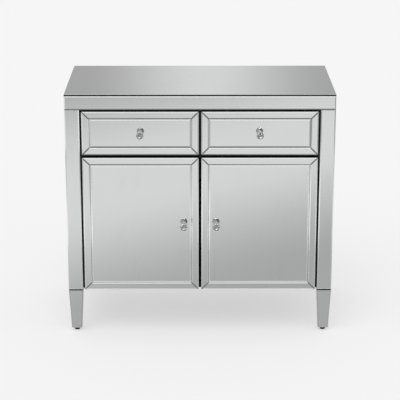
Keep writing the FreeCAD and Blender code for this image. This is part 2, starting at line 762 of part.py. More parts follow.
def back_screws(fit):
    """Screws through the back into the boards and the inner sides, or their holes."""
    y = Y_BOARD_BACK + BACK_PANEL
    places = []
    for z in (Z_BODY + BOARD / 2, Z_DECK + BOARD / 2, Z_RAIL + BOARD / 2):
        places += [V(X_LINER * share, y, z) for share in BACK_SCREW_SHARES]
    for share in SIDE_SCREW_SHARES:
        z = Z_BODY + (Z_TOP - Z_BODY) * share
        places += [V(x, y, z) for x in (-X_POST + LINER / 2, X_POST - LINER / 2)]
    return [wood_screw(place, V(0, -1, 0), BACK_SCREW_LENGTH, fit) for place in places]


def top_screws(fit):
    """Screws up through the rails into the top, or their holes."""
    screws = []
    for y in (Y_CARCASE + TOP_RAIL_DEPTH / 2, Y_BOARD_BACK - TOP_RAIL_DEPTH / 2):
        for share in TOP_SCREW_SHARES:
            head = V(X_LINER * share, y, Z_RAIL)
            screws.append(wood_screw(head, V(0, 0, 1), TOP_SCREW_LENGTH, fit))
    return screws


def carcase():
    """Every fixed piece, by name."""
    back_holes = back_screws(FIT)
    top_holes = top_screws(FIT)
    hinge_holes = [hole for z in HINGE_LEVELS for hole in frame_screws(z, FIT)]
    hinge_screws = [screw for z in HINGE_LEVELS for screw in frame_screws(z, 0)]
    liner = side_liner(back_holes + hinge_holes)
    y_rear = Y_BACK - POST_SIZE
    front_post = post(Y_FACE, GLASS)
    return {
        "top_board": [top_board(top_holes)],
        "top_glass": [top_glass()],
        "top_edge_glass": top_edge_glass(),
        "front_left_post": [front_post],
        "front_right_post": mirrored([front_post]),
        "rear_posts": both_sides([post(y_rear, 0)]),
        "post_glass": both_sides(post_glass()),
        "front_leg_glass": both_sides(leg_glass(Y_FACE)),
        "rear_leg_glass": both_sides(leg_glass(y_rear)),
        "foot_glides": both_sides([foot_glide(Y_FACE), foot_glide(y_rear)]),
        "left_side_liner": [liner],
        "right_side_liner": mirrored([liner]),
        "bottom_board": [inner_board(Z_BODY, back_holes)],
        "drawer_deck": [inner_board(Z_DECK, back_holes)],
        "drawer_divider": [drawer_divider()],
        "top_rails": top_rails(back_holes + top_holes),
        "back_panel": [back_panel(back_holes)],
        "shelf": [shelf()],
        "shelf_pins": both_sides([shelf_pin(y, 0) for y in shelf_pin_places()]),
        "side_panels": both_sides([side_panel()]),
        "side_spacers": both_sides(side_spacers()),
        "side_glass": both_sides(side_glass()),
        "hinge_frame_leaves": both_sides([frame_leaf(z) for z in HINGE_LEVELS]),
        "hinge_pins": both_sides([hinge_pin(z, 0) for z in HINGE_LEVELS]),
        "magnetic_catches": both_sides([magnetic_catch()]),
        "runner_rails": both_sides(runner_pair("rail")),
        "carcase_screws": back_screws(0) + top_screws(0) + both_sides(hinge_screws),
    }


def write(name, solids):
    """One file for a piece, or for a group of like pieces."""
    for solid in solids:
        assert solid.isValid() and solid.Volume > 0, name
    shape = solids[0] if len(solids) == 1 else Part.makeCompound(solids)
    shape.exportStep("parts/" + name + ".step")


os.makedirs("parts", exist_ok=True)
for name, solids in carcase().items():
    write(name, solids)
for pieces in (left_drawer(), left_door()):
    for name, solids in pieces.items():
        write("left_" + name, solids)
        write("right_" + name, mirrored(solids))
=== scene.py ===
# Looks of a mirrored chiffonier: bevelled silvered glass on black boards, crystal knobs, steel fittings.
# Metres, +Z up, front towards -Y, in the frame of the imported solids.
import math

import bpy
import numpy as np
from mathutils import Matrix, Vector


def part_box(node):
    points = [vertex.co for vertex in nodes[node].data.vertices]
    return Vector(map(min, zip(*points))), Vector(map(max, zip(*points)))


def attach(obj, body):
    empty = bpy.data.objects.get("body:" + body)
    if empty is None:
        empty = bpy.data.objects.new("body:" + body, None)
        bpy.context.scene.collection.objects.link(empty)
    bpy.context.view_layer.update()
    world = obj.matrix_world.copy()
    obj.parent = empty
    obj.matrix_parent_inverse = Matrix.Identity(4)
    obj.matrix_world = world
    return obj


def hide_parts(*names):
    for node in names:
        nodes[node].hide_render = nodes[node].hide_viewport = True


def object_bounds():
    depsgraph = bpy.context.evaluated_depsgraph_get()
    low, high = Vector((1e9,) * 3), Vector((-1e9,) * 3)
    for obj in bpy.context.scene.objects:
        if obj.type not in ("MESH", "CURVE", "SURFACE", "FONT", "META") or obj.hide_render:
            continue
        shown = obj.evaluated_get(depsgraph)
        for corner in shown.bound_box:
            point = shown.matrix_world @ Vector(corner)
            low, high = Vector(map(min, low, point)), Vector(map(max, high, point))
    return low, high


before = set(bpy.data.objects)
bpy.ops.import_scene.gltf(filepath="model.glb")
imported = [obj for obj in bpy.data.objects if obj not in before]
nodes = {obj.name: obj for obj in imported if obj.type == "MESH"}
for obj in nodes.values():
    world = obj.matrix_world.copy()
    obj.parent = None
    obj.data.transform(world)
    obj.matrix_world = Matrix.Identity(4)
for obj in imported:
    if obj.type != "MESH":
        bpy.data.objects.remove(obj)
solid_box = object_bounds()


def beyond(place, offsets):
    """A span given by two offsets from a place on the cabinet."""
    return tuple(place + offset for offset in offsets)


# Places on the cabinet that the camera and the painted light and shade on the bevels go by
FACE_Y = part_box("top_glass")[0].y
BACK_Y = solid_box[1].y
TOP_Z = solid_box[1].z
DRAWERS_LEFT_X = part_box("left_drawer_border_glass")[0].x
DRAWERS_RIGHT_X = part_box("right_drawer_border_glass")[1].x
DRAWERS_FOOT_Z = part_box("left_drawer_border_glass")[0].z
DOORS_FOOT_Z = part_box("left_door_border_glass")[0].z
LEGS_TOP_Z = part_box("front_leg_glass")[1].z

# Camera: its distance from the front face, its rise over the top, its step to the side, the height that it
# looks at, and its lens and sensor in millimetres
CAMERA_DISTANCE = 4.7
CAMERA_RISE = 1.08
CAMERA_SIDE = -0.015
AIM_HEIGHT = 0.464
LENS = 134.3
SENSOR = 36.0

# Studio: the backdrop's grey, the even light, the sun's share of the light, where it stands and how broad it
# is, the floor's half width, and how much of the real shadow the floor shows
BACKDROP = 0.9216
AMBIENT = 0.74
SUN_SHARE = 0.26
SUN_HEIGHT = math.radians(58)
SUN_TURN = math.radians(-25)
SUN_SOFTNESS = math.radians(50)
FLOOR_HALF = 20.0
SHADOW_SHARE = 0.38

# Painted reflection: bands of light and shade that the floor gives off for glass alone to see, their levels
# by distance ahead of the front face, out to a reach both ways, and how far they slant for each metre to the
# side
BAND_SLANT = 0.82
BAND_REACH = 5.0
BAND_STOPS = [(-5.0, 0.60), (-3.2, 0.92), (-2.2, 0.90), (-0.9, 0.54), (0.3, 0.533), (1.85, 0.926),
              (2.3, 0.926), (4.7, 0.55), (5.0, 0.55)]

# Room that reflections see: its levels from the horizon to straight up, and two lights in it, each with the
# way it hangs, its level, and the cosines between which its rim fades
SKY_STOPS = [(0.0, 0.74), (0.14, 0.62), (0.30, 0.72), (0.55, 0.66), (0.80, 0.72), (1.0, 0.86)]
LAMP_TOWARDS = Vector((0.0, -0.563, 0.826)).normalized()
LAMP_LEVEL = 16.0
LAMP_RIM = (math.cos(math.radians(10)), math.cos(math.radians(7)))
SOFTBOX_TOWARDS = Vector((-0.05, -0.10, 0.99)).normalized()
SOFTBOX_LEVEL = 0.95
SOFTBOX_RIM = (math.cos(math.radians(14)), math.cos(math.radians(7)))

# Glowing sheet behind the cabinet, which the top reflects: its place and size, its levels in the middle and
# past the spread, and the heights and distances aside between which it fades
GLOW_BEHIND = 1.5
GLOW_HALF_WIDTH = 3.0
GLOW_HEIGHT = 2.6
GLOW_MIDDLE = 0.035
GLOW_SPREAD = 0.575
GLOW_LEVELS = (0.812, 0.476)
GLOW_FOOT = (0.1, 0.9)
GLOW_HEAD = (1.8, 2.6)
GLOW_ENDS = (1.0, 2.8)

# Crystal knobs: radius share and length share of each ring of corners, from the tip to the base
CRYSTAL_SIDES = 8
CRYSTAL_RING_SHARES = [(0.46, 0.0), (0.82, 0.20), (1.0, 0.47), (0.98, 0.55), (0.72, 0.80), (0.46, 0.99)]

# Painted light and shade on the crystals' facets, in front of the girdle and behind it: a steady level,
# lobes of painted glint and shade round an angle, and a painted sparkle from facet to facet. Facets whose
# normals lean back by more than a lean lie behind.
REAR_LEAN = 0.05
GOLDEN_STEP = 0.618
FRONT_LIGHT = 0.86
FRONT_FLICKER = 0.26
GLINT_LIGHT = 0.20
GLINT_ANGLE = math.radians(-40)
GLINT_SHARPNESS = 4
REAR_LIGHT = 0.50
REAR_FLICKER = 0.10
REAR_SHADE = 1.05
SHADE_ANGLE = math.radians(50)
CROWN_LIGHT = 1.0
CROWN_ANGLE = math.radians(90)
CROWN_SHARPNESS = 12

# Facets of the plates: how squarely a face looks along its plate's axis where it stops being a cut edge and
# where it starts being the plate's own face, how far a bevel leans where it counts as looking up or down,
# and how far both ways where it counts as a mitre
EDGE_SQUARENESS = (0.60, 0.70)
FACE_SQUARENESS = (0.980, 0.990)
LEVEL_LEAN = (0.05, 0.15)
MITRE_LEAN = (0.10, 0.20)

# Painted shade of the bevels: how dark it makes them where they look down, sideways or up, and at the mitres
SHADE_DOWN = 0.78
SHADE_SIDEWAYS = 0.44
SHADE_UPWARD = 0.50
SHADE_MITRE = 0.72

# Painted light off the floor: the heights between which the bevels' painted shade comes in, and how much
# these rise for each metre to the right. Near the doors' foot and on the legs, sideways bevels take painted
# shade again.
SHADE_HEIGHTS = beyond(DRAWERS_FOOT_Z, (-0.2175, 0.0425))
SHADE_RISE = 0.15
LOW_HEIGHTS = beyond(DOORS_FOOT_Z, (0.109, 0.209))
LOW_SHADE = (0.34, 0.0)
LEG_HEIGHTS = beyond(LEGS_TOP_Z, (-0.001, 0.005))
LEG_SHADE = (0.25, 0.0)

# Painted light and shade on the drawers' sideways bevels: it starts above a height, is light at the far
# left, and grows darker towards the right
DRAWER_HEIGHTS = beyond(DRAWERS_FOOT_Z, (-0.0075, 0.0425))
DRAWER_LIT_LEFT = beyond(DRAWERS_LEFT_X, (-0.010, 0.048))
DRAWER_DARK_RIGHT = beyond(DRAWERS_RIGHT_X, (-0.285, 0.015))
DRAWER_DARKENING = (0.0, 0.4)

# Spans of values: from nothing to all, the other way, and where most of a noise lies, and clouds' detail
RISING = (0.0, 1.0)
FALLING = (1.0, 0.0)
NOISE_SPAN = (0.3, 0.7)
CLOUD_DETAIL = 3.0

# Shared effects: where smears, their breaks, dust and dust's upward faces begin and end
SMEAR_SPAN = (0.48, 0.72)
SMEAR_BREAK_SPAN = (0.35, 0.75)
DUST_SPAN = (0.40, 0.75)
DUST_UPWARD = (0.6, 0.95)

# Silvered glass: tints of the face clean and smeared, of a bevel light (partly its ground glass's pale tone,
# partly painted light) and dark (painted shade), and of a cut edge, roughness of each, how far a bevel is
# from bare silver, and the height of the glass's waves
MIRROR_TINT = (0.700, 0.714, 0.706, 1.0)
MIRROR_SMEAR = (0.672, 0.684, 0.678, 1.0)
MIRROR_ROUGHNESS = (0.012, 0.05)
MIRROR_WAVE = 0.00012
BEVEL_TINT = (0.915, 0.928, 0.922, 1.0)
BEVEL_PAINTED_SHADE = (0.100, 0.106, 0.103, 1.0)
BEVEL_ROUGHNESS = 0.20
BEVEL_MILKINESS = 0.45
EDGE_TINT = (0.006, 0.010, 0.009, 1.0)
EDGE_ROUGHNESS = 0.28
SOFT_GLOSS = 0.25

# Boards: two tones, a span of roughness, dust as its share and grey, gloss, and the height of the grain
LACQUER_TONES = ((0.0028, 0.0028, 0.0030, 1.0), (0.0046, 0.0045, 0.0044, 1.0))
LACQUER_ROUGHNESS = (0.34, 0.48)
LACQUER_DUST = (0.05, 0.32)
LACQUER_DUST_ROUGHNESS = 0.15
LACQUER_COAT = 0.12
LACQUER_COAT_ROUGHNESS = 0.22
LACQUER_SKIN = 0.00006
MELAMINE_TONES = ((0.013, 0.013, 0.0135, 1.0), (0.021, 0.0205, 0.020, 1.0))
MELAMINE_ROUGHNESS = (0.36, 0.54)
MELAMINE_DUST = (0.06, 0.32)
MELAMINE_GLOSS = 0.4
MELAMINE_PORE = 0.00005
HARDBOARD_TONES = ((0.012, 0.012, 0.012, 1.0), (0.026, 0.025, 0.024, 1.0))
HARDBOARD_TONE_SPAN = (0.5, 1.0)
HARDBOARD_FIBRE_SHARE = 0.5
HARDBOARD_ROUGHNESS = (0.55, 0.72)
HARDBOARD_DUST = (0.06, 0.30)
HARDBOARD_FIBRE = 0.00012

# Metal, plastic and crystal fittings, in the same way
CHROME_TONES = ((0.54, 0.545, 0.56, 1.0), (0.60, 0.605, 0.615, 1.0))
CHROME_ROUGHNESS = (0.045, 0.12)
ZINC_TONES = ((0.53, 0.545, 0.57, 1.0), (0.64, 0.64, 0.635, 1.0))
ZINC_CLOUD_SPAN = (0.35, 0.7)
ZINC_ROUGHNESS = (0.27, 0.40)
ZINC_DUST = (0.1, 0.4)
ZINC_LINE = 0.00002
ENAMEL_TONE = 0.005
ENAMEL_RUBBED_TONE = 0.05
ENAMEL_RUB = 0.35
ENAMEL_ROUGHNESS = (0.26, 0.40)
ENAMEL_GLOSS = 0.3
ENAMEL_SKIN = 0.00003
PLASTIC_TONE = 0.004
PLASTIC_ROUGHNESS = (0.42, 0.56)
PLASTIC_DUST = (0.03, 0.30)
PLASTIC_SKIN = 0.00005
# Crystal: its painted shade and clear tone, between which each facet's painted light sets its tint
CRYSTAL_PAINTED_SHADE = (0.04, 0.042, 0.045, 1.0)
CRYSTAL_LIGHT = (0.985, 0.992, 1.0, 1.0)
CRYSTAL_SMEAR = (0.80, 0.81, 0.82, 1.0)
CRYSTAL_SMEAR_SHARE = 0.3
CRYSTAL_DULL_SPAN = (0.5, 1.0)
CRYSTAL_ROUGHNESS = (0.0, 0.03)
CRYSTAL_IOR = 1.56


# Node helpers

# Sockets of a Mix node by number: its two colours, and its colour output
MIX_FIRST = 6
MIX_SECOND = 7
MIX_RESULT = 2


def put(tree, node, values):
    """Sets a node's inputs to values, or links them to sockets."""
    for key, value in values.items():
        if isinstance(value, bpy.types.NodeSocket):
            tree.links.new(value, node.inputs[key])
        else:
            node.inputs[key].default_value = value


def add(tree, kind, values=None, **settings):
    """A new node with its settings and inputs."""
    node = tree.nodes.new(kind)
    for name, value in settings.items():
        setattr(node, name, value)
    put(tree, node, values or {})
    return node


def maths(tree, operation, first, second=0.0):
    """One sum of two numbers or sockets."""
    return add(tree, "ShaderNodeMath", {0: first, 1: second}, operation=operation).outputs[0]


def plus(tree, first, second):
    """The sum of two numbers or sockets."""
    return maths(tree, "ADD", first, second)


def minus(tree, first, second):
    """The difference of two numbers or sockets."""
    return maths(tree, "SUBTRACT", first, second)


def times(tree, first, second):
    """The product of two numbers or sockets."""
    return maths(tree, "MULTIPLY", first, second)


def vectors(tree, operation, first, second=(0.0, 0.0, 0.0)):
    """One sum of two vectors or sockets."""
    return add(tree, "ShaderNodeVectorMath", {0: first, 1: second}, operation=operation).outputs[0]


def parts(tree, vector):
    """The three parts of a vector."""
    return add(tree, "ShaderNodeSeparateXYZ", {0: vector}).outputs


def coordinates(tree, kind):
    """A surface's coordinates of one kind."""
    return add(tree, "ShaderNodeTexCoord").outputs[kind]


def ramped(tree, value, span, to=RISING, smooth=True):
    """A value taken from one span to another, smoothly or in a straight line, and held at its ends."""
    kind = "SMOOTHSTEP" if smooth else "LINEAR"
    sizes = {"Value": value, "From Min": span[0], "From Max": span[1], "To Min": to[0], "To Max": to[1]}
    return add(tree, "ShaderNodeMapRange", sizes, interpolation_type=kind).outputs["Result"]


def mixed(tree, share, first, second):
    """A colour between two colours."""
    values = {"Factor": share, MIX_FIRST: first, MIX_SECOND: second}
    return add(tree, "ShaderNodeMix", values, data_type="RGBA").outputs[MIX_RESULT]


def grey(level):
    """A neutral colour."""
    return (level, level, level, 1.0)


def graded(tree, value, stops):
    """Greys along a value from 0 to 1."""
    node = add(tree, "ShaderNodeValToRGB", {"Fac": value})
    ramp = node.color_ramp
    ramp.interpolation = "EASE"
    for place, _ in stops[1:-1]:
        ramp.elements.new(place)
    for element, (place, level) in zip(ramp.elements, stops):
        element.position = place
        element.color = grey(level)
    return node.outputs["Color"]


def object_noise(tree, scale, detail=2.0, stretch=(1.0, 1.0, 1.0)):
    """Noise fixed to the piece, in turns to the metre, with its axes scaled."""
    place = coordinates(tree, "Object")
    place = add(tree, "ShaderNodeMapping", {"Vector": place, "Scale": stretch}).outputs["Vector"]
    sizes = {"Vector": place, "Scale": scale, "Detail": detail}
    return add(tree, "ShaderNodeTexNoise", sizes).outputs["Fac"]


def new_group(name, inputs, outputs):
    """An empty shader group with named inputs and outputs: its tree, what it is given, and its end."""
    tree = bpy.data.node_groups.new(name, "ShaderNodeTree")
    for label, (kind, value) in inputs.items():
        socket = tree.interface.new_socket(label, in_out="INPUT", socket_type=kind)
        socket.default_value = value
    for label in outputs:
        tree.interface.new_socket(label, in_out="OUTPUT", socket_type="NodeSocketFloat")
    return tree, add(tree, "NodeGroupInput").outputs, add(tree, "NodeGroupOutput")


# Effects that several finishes share

def drawer_painted_drift(tree, aside, height):
    """How the painted shade on the drawers' sideways bevels differs from the rest: painted light at the far
    left, and darker towards the right."""
    # Painted light at the far left of the drawers, painted shade growing towards the right
    lit = ramped(tree, aside, DRAWER_LIT_LEFT)
    darker = ramped(tree, aside, DRAWER_DARK_RIGHT, DRAWER_DARKENING)
    drift = minus(tree, plus(tree, lit, darker), 1.0)
    return times(tree, drift, ramped(tree, height, DRAWER_HEIGHTS))


def bevel_painted_shade(tree, up, upward):
    """How much painted shade a bevel takes, in place of the dark that it would reflect: most where it looks
    down, some where it looks sideways, and a given share where it looks up. It fades towards the floor, as
    painted light off the floor, and leaves a little on the sideways ones there."""
    aside, _, height = parts(tree, coordinates(tree, "Object"))
    start, end = LEVEL_LEAN
    down = ramped(tree, up, (-start, -end))
    rise = ramped(tree, up, (start, end))
    level = minus(tree, 1.0, plus(tree, down, rise))
    sideways = times(tree, plus(tree, drawer_painted_drift(tree, aside, height), 1.0), SHADE_SIDEWAYS)
    dark = plus(tree, times(tree, down, SHADE_DOWN), times(tree, level, sideways))
    dark = plus(tree, dark, times(tree, rise, upward))
    # Painted light off the floor: the shade fades lower down, and sooner towards the right
    lifted = minus(tree, height, times(tree, aside, SHADE_RISE))
    shade = times(tree, dark, ramped(tree, lifted, SHADE_HEIGHTS))
    # A little painted shade again on sideways bevels near the doors' foot and on the legs
    low = ramped(tree, height, LOW_HEIGHTS, LOW_SHADE)
    low = plus(tree, low, ramped(tree, height, LEG_HEIGHTS, LEG_SHADE))
    return plus(tree, shade, times(tree, level, low))


def mitre_painted_shade(tree, size, facing):
    """Painted shade on mitred corners, which lean two ways at once off the plate's axis."""
    across = vectors(tree, "SUBTRACT", (1.0, 1.0, 1.0), facing)
    lean = parts(tree, vectors(tree, "MULTIPLY", size, across))
    two_ways = maths(tree, "MINIMUM", maths(tree, "MAXIMUM", lean[0], lean[1]), lean[2])
    return ramped(tree, two_ways, MITRE_LEAN, (0.0, SHADE_MITRE))


def glass_facets():
    """Masks of a plate's ground bevels and cut edges, from the way its faces look, and the bevels' painted
    shade.
    The plate's own face looks along an axis named by Facing, a bevel leans off it, an edge lies across it.
    Upward is the painted shade of the bevels that look up."""
    inputs = {"Facing": ("NodeSocketVector", (0, 1, 0)), "Upward": ("NodeSocketFloat", 0.0)}
    tree, given, end = new_group("glass_facets", inputs, ["Bevel", "Edge", "Shade"])
    normal = coordinates(tree, "Normal")
    size = vectors(tree, "ABSOLUTE", normal)
    along = parts(tree, vectors(tree, "MULTIPLY", size, given["Facing"]))
    square = maths(tree, "MAXIMUM", maths(tree, "MAXIMUM", along[0], along[1]), along[2])
    edge = ramped(tree, square, EDGE_SQUARENESS, FALLING)
    bevel = minus(tree, ramped(tree, square, FACE_SQUARENESS, FALLING), edge)
    # Painted shade of the bevels, by how they lean, where they stand, and at the mitres
    shade = bevel_painted_shade(tree, parts(tree, normal)[2], given["Upward"])
    shade = maths(tree, "MAXIMUM", shade, mitre_painted_shade(tree, size, given["Facing"]))
    put(tree, end, {"Bevel": bevel, "Edge": edge, "Shade": shade})
    return tree


def handling_marks():
    """Faint smears left by cloths and fingers: broad noise, broken up by a finer one."""
    inputs = {"Scale": ("NodeSocketFloat", 9.0), "Fine": ("NodeSocketFloat", 60.0)}
    tree, given, end = new_group("handling_marks", inputs, ["Marks"])
    broad = ramped(tree, object_noise(tree, given["Scale"], detail=3.0), SMEAR_SPAN)
    fine = object_noise(tree, given["Fine"], detail=4.0, stretch=(1.0, 1.0, 0.35))
    put(tree, end, {"Marks": times(tree, broad, ramped(tree, fine, SMEAR_BREAK_SPAN))})
    return tree


def sprayed_skin():
    """The fine orange skin of a sprayed or moulded surface."""
    tree, given, end = new_group("sprayed_skin", {"Scale": ("NodeSocketFloat", 700.0)}, ["Height"])
    put(tree, end, {"Height": object_noise(tree, given["Scale"], detail=1.5)})
    return tree


def settled_dust():
    """Dust where a face looks up, in loose patches."""
    tree, given, end = new_group("settled_dust", {"Scale": ("NodeSocketFloat", 35.0)}, ["Dust"])
    up = parts(tree, coordinates(tree, "Normal"))[2]
    patches = ramped(tree, object_noise(tree, given["Scale"], detail=5.0), DUST_SPAN)
    put(tree, end, {"Dust": times(tree, ramped(tree, up, DUST_UPWARD), patches)})
    return tree


def drawn_lines():
    """Hairlines along the length of drawn or polished metal."""
    tree, given, end = new_group("drawn_lines", {"Scale": ("NodeSocketFloat", 900.0)}, ["Lines"])
    lines = object_noise(tree, given["Scale"], detail=2.0, stretch=(1.0, 0.03, 1.0))
    put(tree, end, {"Lines": ramped(tree, lines, NOISE_SPAN)})
    return tree


effects = {
    "glass_facets": glass_facets(),
    "handling_marks": handling_marks(),
    "sprayed_skin": sprayed_skin(),
    "settled_dust": settled_dust(),
    "drawn_lines": drawn_lines(),
}


def effect(tree, name, **values):
    """One of the shared effects placed in a material."""
    node = add(tree, "ShaderNodeGroup", node_tree=effects[name])
    put(tree, node, {label.capitalize(): value for label, value in values.items()})
    return node.outputs


# Finishes

def new_finish(name):
    """A new material with its tree and its shader."""
    material = bpy.data.materials.new(name)
    material.use_nodes = True
    return material, material.node_tree, material.node_tree.nodes["Principled BSDF"]


def raise_bump(tree, shader, height, distance):
    """Lets a height from 0 to 1 lift the surface by up to a distance."""
    bump = add(tree, "ShaderNodeBump", {"Height": height, "Distance": distance})
    put(tree, shader, {"Normal": bump.outputs["Normal"]})


def cloudy(tree, tones, scale, span=NOISE_SPAN):
    """A colour that drifts between two tones in soft clouds."""
    return mixed(tree, ramped(tree, object_noise(tree, scale, CLOUD_DETAIL), span), *tones)


def dusted(tree, under, dust, share, tone):
    """A colour with a share of grey dust on it."""
    return mixed(tree, times(tree, dust, share), under, grey(tone))


def silvered_mirror(name, facing, upward=0.0):
    """Silvered glass with ground bevels and dark cut edges; the bevels carry painted light and painted
    shade.
    """
    material, tree, shader = new_finish(name)
    facets = effect(tree, "glass_facets", facing=facing, upward=upward)
    marks = effect(tree, "handling_marks", scale=7.0, fine=45.0)["Marks"]
    face = mixed(tree, marks, MIRROR_TINT, MIRROR_SMEAR)
    # Painted light and painted shade on the bevels: their tone runs from light to dark by the Shade mask
    ground = mixed(tree, facets["Shade"], BEVEL_TINT, BEVEL_PAINTED_SHADE)
    glass = mixed(tree, facets["Bevel"], face, ground)
    smooth = ramped(tree, marks, RISING, MIRROR_ROUGHNESS, smooth=False)
    satin = times(tree, facets["Bevel"], BEVEL_ROUGHNESS)
    cut = times(tree, facets["Edge"], EDGE_ROUGHNESS)
    silver = minus(tree, 1.0, times(tree, facets["Bevel"], BEVEL_MILKINESS))
    put(tree, shader, {
        "Base Color": mixed(tree, facets["Edge"], glass, EDGE_TINT),
        "Roughness": plus(tree, smooth, plus(tree, satin, cut)),
        "Metallic": minus(tree, silver, facets["Edge"]),
        "Specular IOR Level": SOFT_GLOSS,
    })
    raise_bump(tree, shader, object_noise(tree, scale=5.0, detail=1.0), MIRROR_WAVE)
    return material


def black_lacquer():
    """Satin black spray over fibreboard."""
    material, tree, shader = new_finish("black_lacquer")
    dust = effect(tree, "settled_dust", scale=35.0)["Dust"]
    marks = effect(tree, "handling_marks", scale=12.0, fine=80.0)["Marks"]
    worn = ramped(tree, marks, RISING, LACQUER_ROUGHNESS, smooth=False)
    put(tree, shader, {
        "Base Color": dusted(tree, cloudy(tree, LACQUER_TONES, scale=4.0), dust, *LACQUER_DUST),
        "Roughness": plus(tree, worn, times(tree, dust, LACQUER_DUST_ROUGHNESS)),
        "Specular IOR Level": SOFT_GLOSS,
        "Coat Weight": LACQUER_COAT,
        "Coat Roughness": LACQUER_COAT_ROUGHNESS,
    })
    raise_bump(tree, shader, effect(tree, "sprayed_skin", scale=650.0)["Height"], LACQUER_SKIN)
    return material


def black_melamine():
    """Black melamine sheet with a fine pressed pore along the cabinet."""
    material, tree, shader = new_finish("black_melamine")
    pores = object_noise(tree, scale=900.0, detail=3.0, stretch=(0.10, 1.0, 1.0))
    dust = effect(tree, "settled_dust", scale=30.0)["Dust"]
    put(tree, shader, {
        "Base Color": dusted(tree, cloudy(tree, MELAMINE_TONES, scale=5.0), dust, *MELAMINE_DUST),
        "Roughness": ramped(tree, pores, NOISE_SPAN, MELAMINE_ROUGHNESS),
        "Specular IOR Level": MELAMINE_GLOSS,
    })
    raise_bump(tree, shader, pores, MELAMINE_PORE)
    return material


def painted_hardboard():
    """Thin hardboard with a dull black paint that lets its fibres show."""
    material, tree, shader = new_finish("painted_hardboard")
    fibres = object_noise(tree, scale=420.0, detail=4.0, stretch=(1.0, 1.0, 0.25))
    cloud = object_noise(tree, scale=6.0, detail=CLOUD_DETAIL)
    tone = plus(tree, times(tree, fibres, HARDBOARD_FIBRE_SHARE), cloud)
    paint = mixed(tree, ramped(tree, tone, HARDBOARD_TONE_SPAN), *HARDBOARD_TONES)
    dust = effect(tree, "settled_dust", scale=28.0)["Dust"]
    put(tree, shader, {
        "Base Color": dusted(tree, paint, dust, *HARDBOARD_DUST),
        "Roughness": ramped(tree, fibres, NOISE_SPAN, HARDBOARD_ROUGHNESS),
    })
    raise_bump(tree, shader, fibres, HARDBOARD_FIBRE)
    return material


def polished_chrome():
    """Bright chromium plate with faint polishing lines and fingermarks."""
    material, tree, shader = new_finish("polished_chrome")
    lines = effect(tree, "drawn_lines", scale=1400.0)["Lines"]
    marks = effect(tree, "handling_marks", scale=40.0, fine=220.0)["Marks"]
    put(tree, shader, {
        "Base Color": mixed(tree, lines, *CHROME_TONES),
        "Roughness": ramped(tree, marks, RISING, CHROME_ROUGHNESS, smooth=False),
        "Metallic": 1.0,
    })
    return material


def zinc_steel():
    """Zinc-plated sheet and screws, a little blue, with drawn lines."""
    material, tree, shader = new_finish("zinc_steel")
    lines = effect(tree, "drawn_lines", scale=800.0)["Lines"]
    dust = effect(tree, "settled_dust", scale=60.0)["Dust"]
    plate = cloudy(tree, ZINC_TONES, scale=45.0, span=ZINC_CLOUD_SPAN)
    put(tree, shader, {
        "Base Color": dusted(tree, plate, dust, *ZINC_DUST),
        "Roughness": ramped(tree, lines, RISING, ZINC_ROUGHNESS, smooth=False),
        "Metallic": 1.0,
    })
    raise_bump(tree, shader, lines, ZINC_LINE)
    return material


def japanned_steel():
    """Sheet steel under a baked black enamel, with a few rubbed spots."""
    material, tree, shader = new_finish("japanned_steel")
    skin = effect(tree, "sprayed_skin", scale=1100.0)["Height"]
    marks = effect(tree, "handling_marks", scale=60.0, fine=260.0)["Marks"]
    rubbed = times(tree, marks, ENAMEL_RUB)
    put(tree, shader, {
        "Base Color": mixed(tree, rubbed, grey(ENAMEL_TONE), grey(ENAMEL_RUBBED_TONE)),
        "Roughness": ramped(tree, skin, NOISE_SPAN, ENAMEL_ROUGHNESS),
        "Specular IOR Level": ENAMEL_GLOSS,
    })
    raise_bump(tree, shader, skin, ENAMEL_SKIN)
    return material


def black_plastic():
    """Moulded black nylon."""
    material, tree, shader = new_finish("black_plastic")
    skin = effect(tree, "sprayed_skin", scale=1500.0)["Height"]
    dust = effect(tree, "settled_dust", scale=90.0)["Dust"]
    put(tree, shader, {
        "Base Color": dusted(tree, grey(PLASTIC_TONE), dust, *PLASTIC_DUST),
        "Roughness": ramped(tree, skin, NOISE_SPAN, PLASTIC_ROUGHNESS),
        "Specular IOR Level": SOFT_GLOSS,
    })
    raise_bump(tree, shader, skin, PLASTIC_SKIN)
    return material


def cut_crystal():
    """Lead crystal with polished facets, each tinted by the painted light and shade that its attribute
    gives.
    """
    material, tree, shader = new_finish("cut_crystal")
    marks = effect(tree, "handling_marks", scale=120.0, fine=500.0)["Marks"]
    light = add(tree, "ShaderNodeAttribute", attribute_name="facet_painted_light").outputs["Fac"]
    # Each facet's tint runs from a painted shade to the clear crystal by its painted light
    painted_facet_tone = mixed(tree, light, CRYSTAL_PAINTED_SHADE, CRYSTAL_LIGHT)
    put(tree, shader, {
        "Base Color": mixed(tree, times(tree, marks, CRYSTAL_SMEAR_SHARE), painted_facet_tone, CRYSTAL_SMEAR),
        "Roughness": ramped(tree, marks, CRYSTAL_DULL_SPAN, CRYSTAL_ROUGHNESS, smooth=False),
        "Transmission Weight": 1.0,
        "IOR": CRYSTAL_IOR,
    })
    return material


# Which finish each solid takes

def clothe(material, *names):
    """Gives a finish to solids by name."""
    for name in names:
        nodes[name].data.materials.clear()
        nodes[name].data.materials.append(material)


def both(*names):
    """Names of the left and right pieces."""
    return [side + "_" + name for side in ("left", "right") for name in names]


front_mirror = silvered_mirror("front_mirror", (0.0, 1.0, 0.0))
side_mirror = silvered_mirror("side_mirror", (1.0, 0.0, 0.0))
top_mirror = silvered_mirror("top_mirror", (0.0, 0.0, 1.0))
corner_mirror = silvered_mirror("corner_mirror", (1.0, 1.0, 0.0))
# A copy of the corner mirror that also paints shade on the bevels that look up, for the posts
post_mirror_painted_shade = silvered_mirror("post_mirror_painted_shade", (1.0, 1.0, 0.0), SHADE_UPWARD)
lacquer = black_lacquer()
melamine = black_melamine()
hardboard = painted_hardboard()
chrome = polished_chrome()
zinc = zinc_steel()
japanned = japanned_steel()
plastic = black_plastic()
crystal = cut_crystal()

